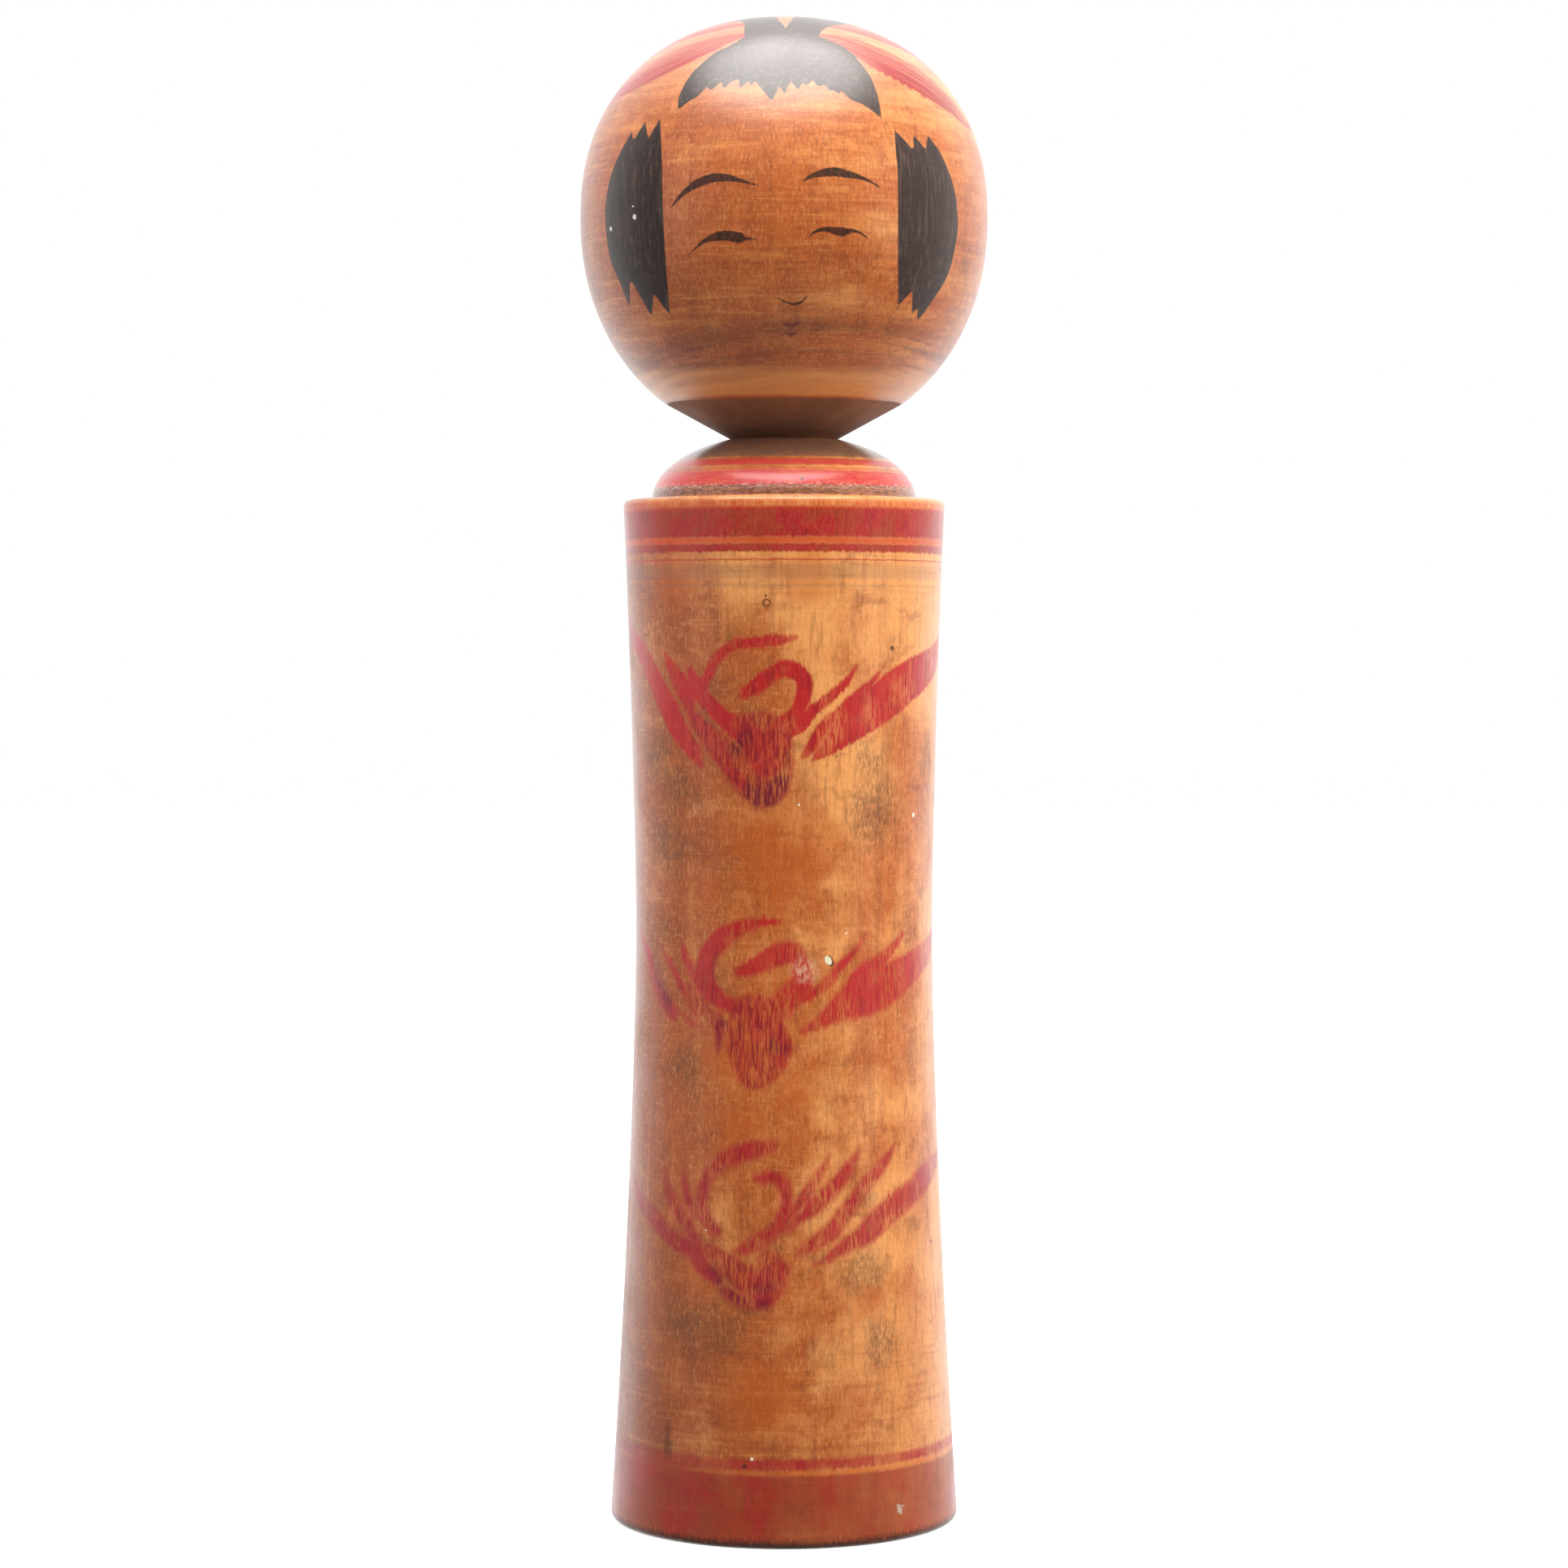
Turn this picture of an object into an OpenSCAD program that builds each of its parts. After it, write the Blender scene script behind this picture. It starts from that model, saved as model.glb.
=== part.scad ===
// Kokeshi doll, turned from two blanks of one pale hardwood: a head that turns, and a waisted body with a
// stepped, domed shoulder. The head's tenon is pressed past the mouth of a blind socket in the shoulder and
// swells out in the undercut below it, so the head turns without end and can't be drawn out.
// Millimetres. +Z is up and the face looks towards -Y. The origin is the centre of the foot.

/* [Whole doll] */
// Height from the foot to the crown
doll_h = 303; // [290:1:320]
// Facets round each turned surface in the preview
turn_facets = 180; // [96:12:240]

/* [Body] */
// Height of the body up to the flat rim round the shoulder
body_h = 205.9; // [200:0.1:210]
// Radius where the foot meets the ground, before its edge is rounded
foot_r = 35.2; // [34:0.1:37]
// Radius at the waist, the narrowest place
waist_r = 30; // [28:0.1:31]
// Height of the waist
waist_z = 119.5; // [100:0.5:140]
// Radius at the top, before its edge is rounded
rim_r = 32.5; // [31.5:0.1:34]
// Rounding of the foot's edge
foot_round = 1.4; // [1:0.1:3]
// Rounding of the top edge
rim_round = 1.3; // [0.8:0.1:2]
// How deep the foot is dished inside its standing ring
dish_depth = 0.9; // [0.4:0.1:2]
// Radius of the dish
dish_r = 22; // [15:0.5:26]

/* [Shoulder] */
// Radius of the shoulder dome where it rises from the flat rim
dome_r = 26.7; // [25:0.1:28]
// Radius of the little flat on the dome that the head sits on
land_r = 10.9; // [10.6:0.1:11.5]
// Height of the dome's full ellipse above the rim
dome_h = 13.5; // [12.5:0.1:14]

/* [Head] */
// Greatest radius of the head
head_r = 41.15; // [39:0.05:43]
// Height of the greatest radius above the ground
head_mid_z = 262.7; // [258:0.1:266]
// Height, above the neck, of the crease between the ball and the cone under the chin
crease_h = 7.3; // [6:0.1:9]
// How far down the lower half would reach if the cone didn't cut it off
lower_reach = 44.8; // [43:0.1:47]
// Fullness of the lower half: 2 is an ellipse, more is squarer
lower_fullness = 2.1; // [2:0.05:2.4]
// Fullness of the upper half
upper_fullness = 2.23; // [2:0.01:2.5]

/* [Turning joint] */
// Radius of the tenon's shank
shank_r = 8.5; // [7:0.1:9]
// Gap round the shank in its bore
running_gap = 0.05; // [0.02:0.01:0.1]
// Length of the shank, from the neck down to the swelling
shank_h = 11.5; // [10:0.5:14]
// How much further out than the shank the swelling stands
bulb_swell = 0.6; // [0.4:0.1:0.9]
// Height of the swelling and of the nose below it
bulb_h = 14; // [12:0.5:16]
// Room round the swelling in the undercut
undercut_gap = 0.4; // [0.3:0.05:0.6]

/* [Hidden] */
wood = "peru";
flare_power = 1.5;
curve_steps = 18;
dome_steps = 12;
head_steps = 22;
edge_steps = 5;
neck_z = body_h + dome_h * sqrt(1 - pow(land_r / dome_r, 2));
crease_z = neck_z + crease_h;
crown_h = doll_h - head_mid_z;
bore_r = shank_r + running_gap;
bulb_r = shank_r + bulb_swell;
undercut_r = bulb_r + undercut_gap;
slope_h = 3;
nose_h = 5;
nose_r = 6.5;
floor_gap = 1.5;
mouth_chamfer = 0.4;
axis_r = 0;
crease_turn = asin(pow((head_mid_z - crease_z) / lower_reach, lower_fullness / 2));

// The side flares from the waist to the foot and, more gently, to the top.
function side_r(z) = z < waist_z
    ? waist_r + (foot_r - waist_r) * pow((waist_z - z) / waist_z, flare_power)
    : waist_r + (rim_r - waist_r) * pow((z - waist_z) / (body_h - waist_z), flare_power);

// Points of a quarter round from one turn angle to another, about a centre.
function round_edge(centre, r, from, to) =
    [for (i = [0:edge_steps])
        let (a = from + (to - from) * i / edge_steps)
        [centre[0] + r * cos(a), centre[1] + r * sin(a)]];

// A point of the head's outline: turn is 0 at the greatest radius and 90 on the axis.
function head_point(turn, reach, fullness, side) =
    [head_r * pow(cos(turn), 2 / fullness),
     head_mid_z + side * reach * pow(sin(turn), 2 / fullness)];

// Outline of the body's outer surface, from the dish in the foot up to the land under the head.
function body_outline() = concat(
    [[axis_r, dish_depth], [dish_r, 0]],
    round_edge([side_r(foot_round) - foot_round, foot_round], foot_round, -90, 0),
    [for (i = [1:curve_steps - 1])
        let (z = foot_round + (body_h - rim_round - foot_round) * i / curve_steps)
        [side_r(z), z]],
    round_edge([side_r(body_h - rim_round) - rim_round, body_h - rim_round], rim_round, 0, 90),
    [for (i = [0:dome_steps])
        let (r = dome_r * cos(acos(land_r / dome_r) * i / dome_steps))
        [r, body_h + dome_h * sqrt(1 - pow(r / dome_r, 2))]],
    [[axis_r, neck_z]]);

// Outline of the socket: chamfered mouth, bore for the shank, then the undercut down to its floor.
function socket_outline() =
    let (slope_top = neck_z - shank_h + undercut_gap, floor_z = neck_z - shank_h - bulb_h - floor_gap)
    [[axis_r, neck_z + 1],
     [bore_r + mouth_chamfer + 1, neck_z + 1],
     [bore_r + mouth_chamfer, neck_z],
     [bore_r, neck_z - mouth_chamfer],
     [bore_r, slope_top],
     [undercut_r, slope_top - slope_h],
     [undercut_r, floor_z + 1],
     [undercut_r - 1, floor_z],
     [axis_r, floor_z - 0.8]];

// Outline of the head: tenon nose, swelling, shank, neck, the cone under the chin, then the ball to the crown.
function head_outline() =
    let (swell_z = neck_z - shank_h, nose_z = swell_z - bulb_h)
    concat(
        [[axis_r, nose_z],
         [nose_r, nose_z],
         [bulb_r, nose_z + nose_h],
         [bulb_r, swell_z - slope_h],
         [shank_r, swell_z],
         [shank_r, neck_z],
         [land_r, neck_z]],
        [for (i = [0:head_steps])
            head_point(crease_turn * (1 - i / head_steps), lower_reach, lower_fullness, -1)],
        [for (i = [1:head_steps - 1])
            head_point(90 * i / head_steps, crown_h, upper_fullness, 1)],
        [[axis_r, doll_h]]);

// Trunk and shoulder in one piece, with the undercut socket in its top and the dish in its foot.
module body() {
    color(wood)
    difference() {
        rotate_extrude($fn = turn_facets) polygon(body_outline());
        rotate_extrude($fn = turn_facets) polygon(socket_outline());
    }
}

// Ball and tenon in one piece.
module head() {
    color(wood)
    rotate_extrude($fn = turn_facets) polygon(head_outline());
}

body();
head();
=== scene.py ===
import math

import bpy
import numpy as np
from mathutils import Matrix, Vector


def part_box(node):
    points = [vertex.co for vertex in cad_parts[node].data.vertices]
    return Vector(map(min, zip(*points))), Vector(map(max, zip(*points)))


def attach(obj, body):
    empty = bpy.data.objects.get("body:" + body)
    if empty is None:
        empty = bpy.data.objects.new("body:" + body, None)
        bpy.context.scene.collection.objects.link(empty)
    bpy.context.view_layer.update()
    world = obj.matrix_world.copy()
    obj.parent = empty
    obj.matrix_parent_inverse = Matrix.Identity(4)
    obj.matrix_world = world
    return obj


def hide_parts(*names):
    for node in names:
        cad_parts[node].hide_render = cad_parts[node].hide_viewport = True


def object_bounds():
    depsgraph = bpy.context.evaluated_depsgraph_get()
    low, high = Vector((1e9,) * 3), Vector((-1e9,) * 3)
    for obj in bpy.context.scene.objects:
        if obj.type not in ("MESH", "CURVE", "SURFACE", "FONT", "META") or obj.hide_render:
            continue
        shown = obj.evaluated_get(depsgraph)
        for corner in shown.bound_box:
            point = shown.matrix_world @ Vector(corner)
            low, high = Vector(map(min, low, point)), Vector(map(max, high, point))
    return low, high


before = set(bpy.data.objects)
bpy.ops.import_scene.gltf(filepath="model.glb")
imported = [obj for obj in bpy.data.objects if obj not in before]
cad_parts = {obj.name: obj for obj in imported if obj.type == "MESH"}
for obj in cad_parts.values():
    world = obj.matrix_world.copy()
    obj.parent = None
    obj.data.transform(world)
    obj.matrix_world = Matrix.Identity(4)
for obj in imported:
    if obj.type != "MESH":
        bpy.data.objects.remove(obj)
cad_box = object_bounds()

# ---- Where the doll stands: pale floor, soft light and camera --------------------------------------
# The doll stands alone on a plain pale floor in a pale room, with one soft light straight overhead and
# a wide soft one low on each side. The camera stands a little above half the doll's height and looks
# very slightly down, with the frame lowered a little, so that the doll fills it and stands upright in it.

mm = 0.001
doll_height = cad_box[1][2]
camera_distance = 2.817 * doll_height
camera_height = 0.5755 * doll_height
aim_height = 0.532 * doll_height
lens_mm = 96.68
frame_lowered = 0.04

scene = bpy.context.scene
scene.view_settings.view_transform = "Standard"


def look_from(thing, place, aim):
    """Puts a light or the camera at a place, pointing at another."""
    away = np.array(aim) - np.array(place)
    flat = math.hypot(away[0], away[1])
    thing.location = place
    thing.rotation_euler = (math.pi / 2 + math.atan2(away[2], flat), 0, math.atan2(-away[0], away[1]))


camera = bpy.data.objects.new("camera", bpy.data.cameras.new("camera"))
camera.data.lens = lens_mm
camera.data.sensor_width = 36
camera.data.shift_y = -frame_lowered
camera.data.clip_start = 0.01
look_from(camera, (0, -camera_distance, camera_height), (0, 0, aim_height))
scene.collection.objects.link(camera)
scene.camera = camera


def soft_light(name, place, aim, wide, tall, watts, tint, mirrored):
    """A soft box; one that isn't mirrored lights the doll without showing in its wax."""
    lamp = bpy.data.lights.new(name, "AREA")
    lamp.shape = "ELLIPSE"
    lamp.size, lamp.size_y = wide, tall
    lamp.energy = watts
    lamp.color = tint
    holder = bpy.data.objects.new(name, lamp)
    look_from(holder, place, aim)
    holder.visible_camera = False
    holder.visible_glossy = mirrored
    scene.collection.objects.link(holder)


soft_light("overhead", (0, -0.15, 1.15), (0, 0, doll_height), 1.15, 1.15, 23.5, (1.0, 0.98, 0.96), True)
soft_light("left side", (-1.0, -0.40, 0.40), (0, 0, 0.13), 0.8, 1.0, 8.0, (1.0, 0.98, 0.97), False)
soft_light("right side", (1.0, -0.45, 0.40), (0, 0, 0.13), 0.8, 1.0, 14.0, (1.0, 0.99, 0.97), False)

# The room is brighter behind the doll than in front of it, and a pale floor glows up from below.
room = bpy.data.worlds.new("pale room")
room.use_nodes = True
scene.world = room


def add_node(tree, kind, settings, values, result=0):
    """Adds a node, its settings first and then the values or links of its sockets. Gives one output."""
    made = tree.nodes.new(kind)
    for name, value in settings.items():
        setattr(made, name, value)
    for place, value in values.items():
        if isinstance(value, bpy.types.NodeSocket):
            tree.links.new(value, made.inputs[place])
        else:
            made.inputs[place].default_value = value
    return made.outputs[result]


def room_node(kind, settings, values, result=0):
    return add_node(room.node_tree, "ShaderNode" + kind, settings, values, result)


direction = room_node("SeparateXYZ", {}, {0: room_node("TexCoord", {}, {}, "Generated")}).node.outputs
back_wall = room_node("MapRange", {}, {0: direction["Y"], 1: -0.05, 2: 0.7, 3: 0.08, 4: 1.25})
from_floor = room_node("MapRange", {}, {0: direction["Z"], 1: -0.7, 2: -0.1, 3: 0.30, 4: 0.0})
glow = room_node("Math", {"operation": "MAXIMUM"}, {0: back_wall, 1: from_floor})
camera_ray = room_node("LightPath", {}, {}, "Is Camera Ray")
strength = room_node("Mix", {}, {0: camera_ray, 2: glow, 3: 1.0})
lit = room.node_tree.nodes["Background"]
lit.inputs["Color"].default_value = (1, 1, 1, 1)
room.node_tree.links.new(strength, lit.inputs["Strength"])

floor_reach = 4.0
floor_mesh = bpy.data.meshes.new("floor")
floor_corners = [(x * floor_reach, y * floor_reach, 0) for x, y in ((-1, -1), (1, -1), (1, 1), (-1, 1))]
floor_mesh.from_pydata(floor_corners, [], [(0, 1, 2, 3)])
floor = bpy.data.objects.new("floor", floor_mesh)
scene.collection.objects.link(floor)
floor_paint = bpy.data.materials.new("pale floor")
floor_paint.use_nodes = True
floor_shader = floor_paint.node_tree.nodes["Principled BSDF"]
floor_shader.inputs["Base Color"].default_value = (0.90, 0.89, 0.88, 1)
floor_shader.inputs["Roughness"].default_value = 0.75
floor_shader.inputs["Emission Color"].default_value = (1, 1, 1, 1)
floor_shader.inputs["Emission Strength"].default_value = 0.7
floor_mesh.materials.append(floor_paint)
floor.visible_diffuse = False
floor.visible_glossy = False

# ---- Body: waisted trunk with a domed shoulder -----------------------------------------------------
# One billet of pale close-grained hardwood, turned end to end with its shoulder, bored and undercut at
# the top for the head's tenon, and dished a little in the foot. Lathe bands are laid on with a loaded
# brush while it spins, three flowers are brushed down the front, and the whole is waxed.

neck_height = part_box("body")[1][2]
body_radius_at_foot = 35.2 * mm
waist_radius = 30.0 * mm
waist_height = 119.5 * mm
rim_height = 205.9 * mm
rim_radius = 32.5 * mm
flare_power = 1.5
foot_round = 1.4 * mm
rim_round = 1.3 * mm
dish_depth = 0.85 * mm
dish_radius = 22.0 * mm
dome_radius = 26.7 * mm
land_radius = 10.9 * mm
dome_full_height = (neck_height - rim_height) / math.sqrt(1 - (land_radius / dome_radius) ** 2)
bore_radius = 8.55 * mm
undercut_radius = 9.5 * mm
undercut_top = neck_height - 11.1 * mm
socket_floor = neck_height - 27.0 * mm


def side_radius(z):
    """Radius of the trunk at a height: least at the waist, flaring both ways."""
    if z < waist_height:
        share = (waist_height - z) / waist_height
        return waist_radius + (body_radius_at_foot - waist_radius) * share**flare_power
    share = (z - waist_height) / (rim_height - waist_height)
    return waist_radius + (rim_radius - waist_radius) * share**flare_power


def round_edge(centre, radius, start, end, steps):
    """Points of an arc in a lathe outline, from one turn in degrees to another."""
    turns = np.radians(np.linspace(start, end, steps + 1))
    return [(centre[0] + radius * math.cos(t), centre[1] + radius * math.sin(t)) for t in turns]


def body_outline():
    """The trunk's outline from the middle of its foot, up the outside and down into the socket."""
    dish_rows, trunk_rows, dome_rows = 40, 322, 36
    tool_ridge, ridges_per_mm = 0.03 * mm, 3.3
    rows = []
    for r in np.linspace(0, dish_radius, dish_rows):
        hollow = dish_depth * (1 - (r / dish_radius) ** 2)
        ridge = tool_ridge * math.sin(r / mm * ridges_per_mm) if 0 < r < dish_radius * 0.95 else 0
        rows.append((r, hollow + ridge))
    foot_edge = side_radius(foot_round) - foot_round
    rows += [(r, 0) for r in np.linspace(dish_radius, foot_edge, 6)[1:-1]]
    rows += round_edge((foot_edge, foot_round), foot_round, -90, 0, 7)
    rows += [(side_radius(z), z) for z in np.linspace(foot_round, rim_height - rim_round, trunk_rows)[1:-1]]
    rim_edge = side_radius(rim_height - rim_round) - rim_round
    rows += round_edge((rim_edge, rim_height - rim_round), rim_round, 0, 90, 7)
    corner = 0.35 * mm
    rows += [(r, rim_height) for r in np.linspace(rim_edge, dome_radius + corner, 7)[1:-1]]
    rows += round_edge((dome_radius + corner, rim_height + corner), corner, -90, -165, 3)
    for turn in np.linspace(0.03, math.acos(land_radius / dome_radius), dome_rows):
        r = dome_radius * math.cos(turn)
        rows.append((r, rim_height + dome_full_height * math.sin(turn)))
    rows += [(10.0 * mm, neck_height), (8.95 * mm, neck_height), (bore_radius, neck_height - 0.4 * mm)]
    rows += [(bore_radius, z) for z in np.linspace(neck_height, undercut_top, 5)[1:]]
    rows += [(undercut_radius, undercut_top - 3 * mm), (undercut_radius, socket_floor + 1 * mm)]
    rows += [(undercut_radius - 1 * mm, socket_floor), (4 * mm, socket_floor - 0.5 * mm)]
    rows.append((0, socket_floor - 0.8 * mm))
    return rows


def turning_tree():
    """Turns an outline round the Z axis, with its columns crowded together at the front."""
    tree = bpy.data.node_groups.new("turning", "GeometryNodeTree")
    for name, kind in (("Outline", "Geometry"), ("Columns", "Int"), ("Front Crowding", "Float"),
                       ("Weld", "Float"), ("Finish", "Material")):
        tree.interface.new_socket(name, in_out="INPUT", socket_type="NodeSocket" + kind)
    tree.interface.new_socket("Turned", in_out="OUTPUT", socket_type="NodeSocketGeometry")

    def add(kind, settings, values, result=0):
        return add_node(tree, kind, settings, values, result)

    def maths(operation, first, second=0.0):
        return add("ShaderNodeMath", {"operation": operation}, {0: first, 1: second})

    given = tree.nodes.new("NodeGroupInput").outputs
    rows = add("GeometryNodeAttributeDomainSize", {"component": "MESH"}, {0: given["Outline"]})
    edges = maths("ADD", given["Columns"], 1)
    sheet = add("GeometryNodeMeshGrid", {}, {"Vertices X": edges, "Vertices Y": rows})
    index = add("GeometryNodeInputIndex", {}, {})
    row = maths("MODULO", index, rows)
    column = maths("FLOOR", maths("DIVIDE", index, rows))
    place = add("GeometryNodeInputPosition", {}, {})
    sampled = add("GeometryNodeSampleIndex", {"data_type": "FLOAT_VECTOR", "domain": "POINT"},
                  {"Geometry": given["Outline"], "Value": place, "Index": row})
    apart = add("ShaderNodeSeparateXYZ", {}, {0: sampled}).node.outputs
    radius, height = apart["X"], apart["Z"]
    even = maths("MULTIPLY", maths("DIVIDE", column, given["Columns"]), 2 * math.pi)
    turn = maths("ADD", even, maths("MULTIPLY", maths("SINE", even), given["Front Crowding"]))
    across = maths("MULTIPLY", maths("MULTIPLY", radius, maths("SINE", turn)), -1)
    along = maths("MULTIPLY", radius, maths("COSINE", turn))
    spun = add("ShaderNodeCombineXYZ", {}, {"X": across, "Y": along, "Z": height})
    shaped = add("GeometryNodeSetPosition", {}, {"Geometry": sheet, "Position": spun})
    welded = add("GeometryNodeMergeByDistance", {}, {"Geometry": shaped, "Distance": given["Weld"]})
    outward = add("GeometryNodeFlipFaces", {}, {"Mesh": welded})
    smooth = add("GeometryNodeSetShadeSmooth", {}, {"Geometry": outward})
    real = add("GeometryNodeRealizeInstances", {}, {"Geometry": smooth})
    finished = add("GeometryNodeSetMaterial", {}, {"Geometry": real, "Material": given["Finish"]})
    tree.links.new(finished, tree.nodes.new("NodeGroupOutput").inputs["Turned"])
    return tree


def turn_on_lathe(name, outline, columns, crowding, finish):
    """A plain closed mesh of an outline turned round the Z axis, as an object at the origin."""
    line = bpy.data.meshes.new(name + " outline")
    line.from_pydata([(r, 0, z) for r, z in outline], [(i, i + 1) for i in range(len(outline) - 1)], [])
    blank = bpy.data.objects.new(name + " outline", line)
    scene.collection.objects.link(blank)
    tree = bpy.data.node_groups.get("turning") or turning_tree()
    lathe = blank.modifiers.new("lathe", "NODES")
    lathe.node_group = tree
    wanted = {"Columns": columns, "Front Crowding": crowding, "Weld": 0.001 * mm, "Finish": finish}
    for socket in tree.interface.items_tree:
        if socket.in_out == "INPUT" and socket.name in wanted:
            lathe[socket.identifier] = wanted[socket.name]
    ready = blank.evaluated_get(bpy.context.evaluated_depsgraph_get())
    mesh = bpy.data.meshes.new_from_object(ready)
    blank.modifiers.remove(lathe)
    bpy.data.objects.remove(blank)
    mesh.name = name
    piece = bpy.data.objects.new(name, mesh)
    scene.collection.objects.link(piece)
    return piece


def points_of(mesh):
    """Every point of a mesh, in millimetres."""
    flat = np.empty(len(mesh.vertices) * 3)
    mesh.vertices.foreach_get("co", flat)
    return flat.reshape(-1, 3) / mm


def keep_on(mesh, name, values):
    """Stores one number for each point of a mesh, for the material to read."""
    mesh.attributes.new(name, "FLOAT", "POINT").data.foreach_set("value", values.astype(np.float32))


def smooth_run(points, step):
    """Close points on a smooth curve through given points. Every column is smoothed alike."""
    given = np.array(points, float)
    if len(given) < 3:
        given = np.array([given[0], (given[0] + given[-1]) / 2, given[-1]])
    padded = np.vstack([2 * given[0] - given[1], given, 2 * given[-1] - given[-2]])
    close = []
    for before, start, end, after in zip(padded, padded[1:], padded[2:], padded[3:]):
        count = max(2, int(np.linalg.norm((end - start)[:2]) / step))
        t = np.linspace(0, 1, count, endpoint=False)[:, None]
        bend = 2 * before - 5 * start + 4 * end - after
        swing = 3 * (start - end) + after - before
        close.append(0.5 * (2 * start + (end - before) * t + bend * t**2 + swing * t**3))
    return np.vstack(close + [given[-1:]])


far = 5.0


def near_to(places, spots, reach):
    """Which places lie in the box round some spots, widened by a reach."""
    return np.flatnonzero(np.all((places > spots.min(0) - reach) & (places < spots.max(0) + reach), axis=1))


def brushed(places, strokes):
    """Distance in mm from each place to the edge of the nearest stroke, under 0 inside it, and how much
    that edge runs across the grain, from 0 to 1. A stroke's last column is its width."""
    best = np.full(len(places), far)
    across = np.zeros(len(places))
    for stroke in strokes:
        spots, half = stroke[:, :-1], stroke[:, -1] / 2
        chosen = near_to(places, spots, far + half.max())
        for part in np.array_split(chosen, len(chosen) // 8000 + 1):
            if not len(part):
                continue
            away = places[part][:, None, :] - spots[None, :, :]
            apart = np.sqrt((away**2).sum(2))
            gap = apart - half[None, :]
            nearest = np.arange(len(part)), gap.argmin(1)
            closer = gap[nearest] < best[part]
            kept = part[closer]
            best[kept] = gap[nearest][closer]
            across[kept] = (np.abs(away[nearest][:, -1]) / np.maximum(apart[nearest], 0.01))[closer]
    return best, across


body_paint = bpy.data.materials.new("body wood")
body = turn_on_lathe("body_turned", body_outline(), columns=216, crowding=0.55, finish=body_paint)

# The flowers. Each stroke is a run of points: mm round the trunk from the middle of the front, height
# in mm, and the brush's width there. A flower is a curled crest over a hook, leaves swept out on both
# sides, and a blunt stem where the colour pools.
first_flower = [
    [(2.5, 178, 0.4), (-1.5, 177.5, 2.2), (-7, 177, 2.1), (-10, 176.5, 2.1), (-13.5, 174, 2.1),
     (-15, 171.5, 2), (-16.5, 168.5, 2.3), (-16, 166, 2.8), (-12, 162, 3.7), (-7, 158.5, 5),
     (-3.5, 154.5, 7)],
    [(-8, 167, 2.1), (-5.5, 168.5, 3.2), (-2, 171, 3), (0.5, 172, 3.4), (3.5, 170.5, 3.3),
     (4, 167.5, 3.3), (2.5, 163.5, 2.8), (0, 160.5, 4.6), (-2, 156.5, 5.5)],
    [(15, 173, 0.2), (13, 170, 1.3), (10, 167, 1.9), (6, 164, 2.3), (4, 161.5, 2.5), (1.5, 159.5, 2.3)],
    [(21.5, 173, 0.2), (19, 170, 1.2), (16, 167.5, 2.1), (11.5, 163.5, 2.5), (7.5, 160, 2.7),
     (5, 156, 1.9), (3.5, 154.5, 0.4)],
    [(47.5, 179, 2), (40.5, 174, 6), (28.5, 169.5, 8.5), (21, 165.5, 8.5), (15.5, 162, 7),
     (11, 158.5, 4.7), (7.5, 155.5, 2.3), (5.5, 154, 0.4)],
    [(-27, 175.5, 0.2), (-24.5, 172, 2.7), (-21.5, 168, 4), (-20, 165, 2.5), (-20, 162.5, 0.4)],
    [(-20.5, 173, 0.4), (-19, 170, 2.3), (-17, 167, 3.2), (-16, 165, 2.8)],
    [(-43.5, 180.5, 2.5), (-34.5, 174.5, 4.6), (-30, 169.5, 4.6), (-26, 164.5, 5), (-23, 160, 4.6),
     (-19, 155.5, 3.2), (-17, 152.5, 0.4)],
    [(-18.5, 162, 2.3), (-15, 158, 3.4), (-12, 153.5, 3), (-8.5, 149.5, 2)],
]
second_flower = [
    [(-1, 122.5, 0.7), (-6, 122, 2), (-10.5, 120.5, 3.6), (-14, 118, 4.2), (-16, 115.5, 4.2),
     (-17, 112, 4.6), (-16, 109, 4.6), (-12.5, 106.5, 3.3), (-8.5, 105, 2.8), (-6, 103.5, 2.8)],
    [(-9, 112.5, 2), (-5, 114, 3.4), (-2, 115.5, 4.3), (1.5, 116.5, 4.1), (3, 115.5, 3.3),
     (3.5, 113, 3.7), (3.5, 110.5, 4.2), (1.5, 108, 5), (-1.5, 105, 5.5), (-4, 103, 7.5)],
    [(17.5, 119.5, 0.2), (14.5, 116, 1.2), (11, 113, 2), (9, 110.5, 2), (5.5, 108, 1.9), (2.5, 106.5, 0.5)],
    [(28.5, 119.5, 0.4), (24.5, 116.5, 2), (20, 113.5, 3.2), (16.5, 111, 4.6), (14.5, 107.5, 5.5)],
    [(47.5, 120, 1), (41.5, 116, 4.8), (31, 112.5, 6.4), (23, 109.5, 8.2), (17.5, 107.5, 8.2),
     (12, 105.5, 5.5), (8.5, 103.5, 3.2), (5, 101.5, 1.6), (3, 100.5, 0.3)],
    [(-23.5, 118.5, 0.2), (-22, 115.5, 1.8), (-20, 112, 2), (-17.5, 109, 2.7)],
    [(-29.5, 117, 0.4), (-25.5, 112.5, 1.3), (-22, 108, 1.7), (-19, 104, 1.2), (-17, 100.5, 0.2)],
    [(-40.5, 120, 1.4), (-34.5, 114.5, 2.3), (-32.5, 110.5, 2.8), (-28.5, 106.5, 3.4),
     (-25.5, 104, 3.2), (-24.5, 102.5, 0.5)],
    [(-23.5, 104.5, 0.4), (-20.5, 102.5, 1.2), (-16.5, 100.5, 0.2)],
    [(-13.5, 104, 0.5), (-13.5, 101, 1.5), (-13.5, 97, 0.5)],
    [(-1, 101, 2.8), (0.5, 98, 2.3), (-0.5, 95, 1.9)],
]
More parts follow.
